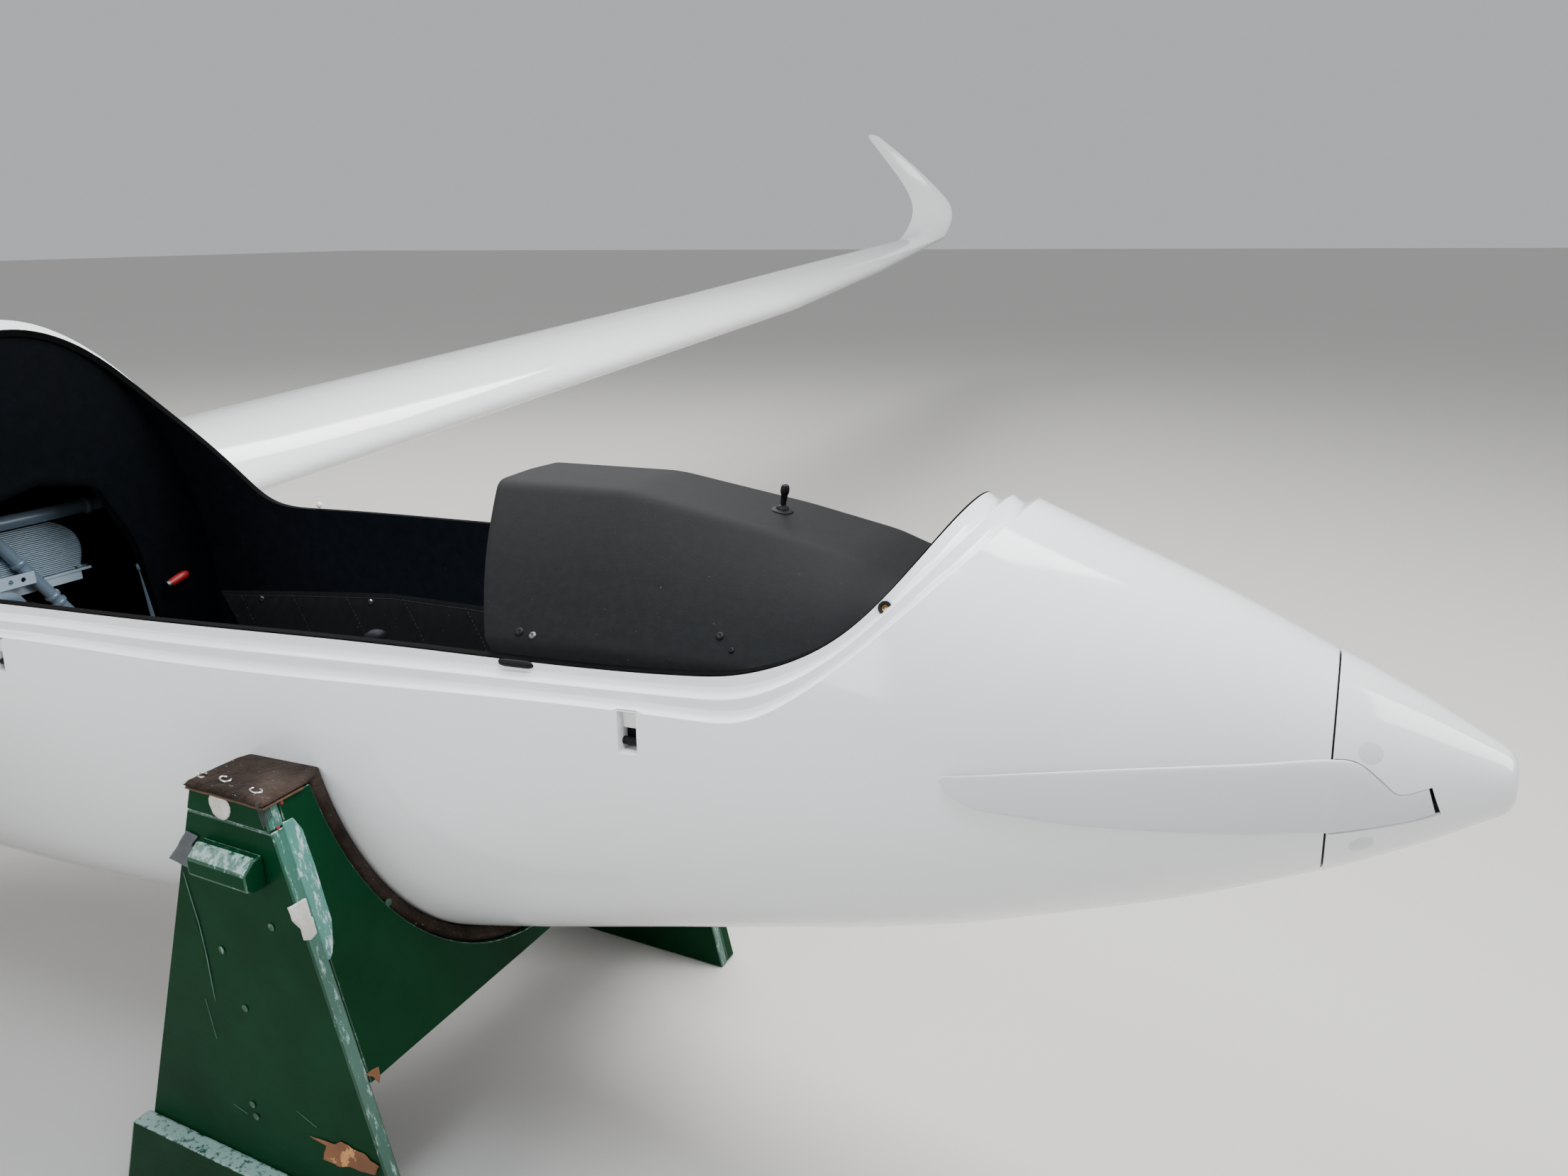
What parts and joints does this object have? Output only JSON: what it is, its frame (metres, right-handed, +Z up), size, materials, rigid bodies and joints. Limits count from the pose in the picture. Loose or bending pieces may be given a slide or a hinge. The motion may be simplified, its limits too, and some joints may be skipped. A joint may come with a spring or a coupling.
{
  "type": "self-launching sailplane glider on workshop cradles",
  "caption": "Single-seat sailplane with slim tail, winglets and a folding nose propeller, canopy off, resting in two felt-lined green wooden cradles.",
  "frame": {"origin": "on the floor under the middle of the bounding box", "axes": "+X towards the nose, +Y towards the port wing tip, +Z up; the fuselage axis is pitched 2.4 degrees nose up"},
  "size_m": [6.7862, 14.674, 1.8542],
  "materials": {
    "gelcoat": "gloss",
    "blade_white": "satin",
    "black_trim": "matte",
    "upholstery": "woven",
    "charcoal": "matte",
    "blue_steel": "satin",
    "bare_aluminium": "brushed",
    "dark_steel": "satin",
    "tyre": "worn",
    "green_wood": "painted, chipped",
    "dark_felt": "felt"
  },
  "bodies": {
    "airframe": {"cockpit_shell": "gelcoat", "centre_section": "gelcoat", "tail_boom": "gelcoat", "fin": "gelcoat", "tailplane": "gelcoat", "wing_port": "gelcoat", "wing_starboard": "gelcoat", "wing_tip_port": "gelcoat", "wing_tip_starboard": "gelcoat", "nose_motor": "dark_steel", "seat_pan": "black_trim", "rear_bulkhead": "black_trim", "instrument_hood": "charcoal", "instrument_panel": "black_trim", "hood_toggle": "black_trim", "control_stick": "black_trim", "upholstery_port": "upholstery", "upholstery_starboard": "upholstery", "tube_frame": "blue_steel", "motor_controller": "bare_aluminium", "main_gear_fork": "blue_steel", "gear_door_port": "gelcoat", "gear_door_starboard": "gelcoat", "tail_wheel_fairing": "gelcoat", "cradle_front_side_port": "green_wood", "cradle_front_side_starboard": "green_wood", "cradle_front_plate_fore": "green_wood", "cradle_front_plate_aft": "green_wood", "cradle_front_felt": "dark_felt", "cradle_rear_side_port": "green_wood", "cradle_rear_side_starboard": "green_wood", "cradle_rear_plate_fore": "green_wood", "cradle_rear_plate_aft": "green_wood", "cradle_rear_felt": "dark_felt"},
    "propeller": {"spinner": "gelcoat", "propeller_hub": "dark_steel"},
    "blade_starboard": {"propeller_blade_starboard": "blade_white"},
    "blade_port": {"propeller_blade_port": "blade_white"},
    "rudder": {"rudder": "gelcoat"},
    "elevator": {"elevator": "gelcoat"},
    "aileron_port": {"aileron_port": "gelcoat"},
    "aileron_starboard": {"aileron_starboard": "gelcoat"},
    "airbrake_port": {"airbrake_port": "bare_aluminium"},
    "airbrake_starboard": {"airbrake_starboard": "bare_aluminium"},
    "main_wheel": {"main_wheel_rim": "bare_aluminium", "main_tyre": "tyre"},
    "tail_wheel": {"tail_wheel_rim": "bare_aluminium", "tail_tyre": "tyre"}
  },
  "joints": [
    {"name": "propeller_turn", "type": "hinge", "parent": "airframe", "child": "propeller", "pos_m": [3.29223, 0, 0.72581], "axis": [0.9991, 0, 0.0419], "range_deg": [0, 360]},
    {"name": "blade_fold_starboard", "type": "hinge", "parent": "propeller", "child": "blade_starboard", "pos_m": [3.31021, -0.045, 0.72657], "axis": [-0.0419, 0, 0.9991], "range_deg": [0, 68]},
    {"name": "blade_fold_port", "type": "hinge", "parent": "propeller", "child": "blade_port", "pos_m": [3.31021, 0.045, 0.72657], "axis": [0.0419, 0, -0.9991], "range_deg": [0, 68]},
    {"name": "rudder_hinge", "type": "hinge", "parent": "airframe", "child": "rudder", "pos_m": [-3.07481, 0, 0.99943], "axis": [-0.0419, 0, 0.9991], "range_deg": [-30, 30]},
    {"name": "elevator_hinge", "type": "hinge", "parent": "airframe", "child": "elevator", "pos_m": [-3.13096, 0, 1.62262], "axis": [0, 1, 0], "range_deg": [-20, 25]},
    {"name": "aileron_port_hinge", "type": "hinge", "parent": "airframe", "child": "aileron_port", "pos_m": [0.41872, 5.67455, 1.04397], "axis": [-0.0882, 0.9945, 0.0564], "range_deg": [-18, 18]},
    {"name": "aileron_starboard_hinge", "type": "hinge", "parent": "airframe", "child": "aileron_starboard", "pos_m": [0.41872, -5.67455, 1.04397], "axis": [0.0882, 0.9945, -0.0564], "range_deg": [-18, 18]},
    {"name": "airbrake_port_slide", "type": "slide", "parent": "airframe", "child": "airbrake_port", "axis": [-0.0421, -0.0552, 0.9976], "range_m": [0, 0.065]},
    {"name": "airbrake_starboard_slide", "type": "slide", "parent": "airframe", "child": "airbrake_starboard", "axis": [-0.0421, 0.0552, 0.9976], "range_m": [0, 0.065]},
    {"name": "main_wheel_axle", "type": "hinge", "parent": "airframe", "child": "main_wheel", "pos_m": [1.08985, 0, 0.37828], "axis": [0, 1, 0], "continuous": true},
    {"name": "tail_wheel_axle", "type": "hinge", "parent": "airframe", "child": "tail_wheel", "pos_m": [-2.7507, 0, 0.4305], "axis": [0, 1, 0], "continuous": true}
  ],
  "couplings": [
    {"joint": "blade_fold_starboard", "follows": "propeller_turn", "ratio": 0.18889},
    {"joint": "blade_fold_port", "follows": "propeller_turn", "ratio": 0.18889},
    {"joint": "aileron_starboard_hinge", "follows": "aileron_port_hinge", "ratio": -1},
    {"joint": "airbrake_starboard_slide", "follows": "airbrake_port_slide", "ratio": 1}
  ]
}
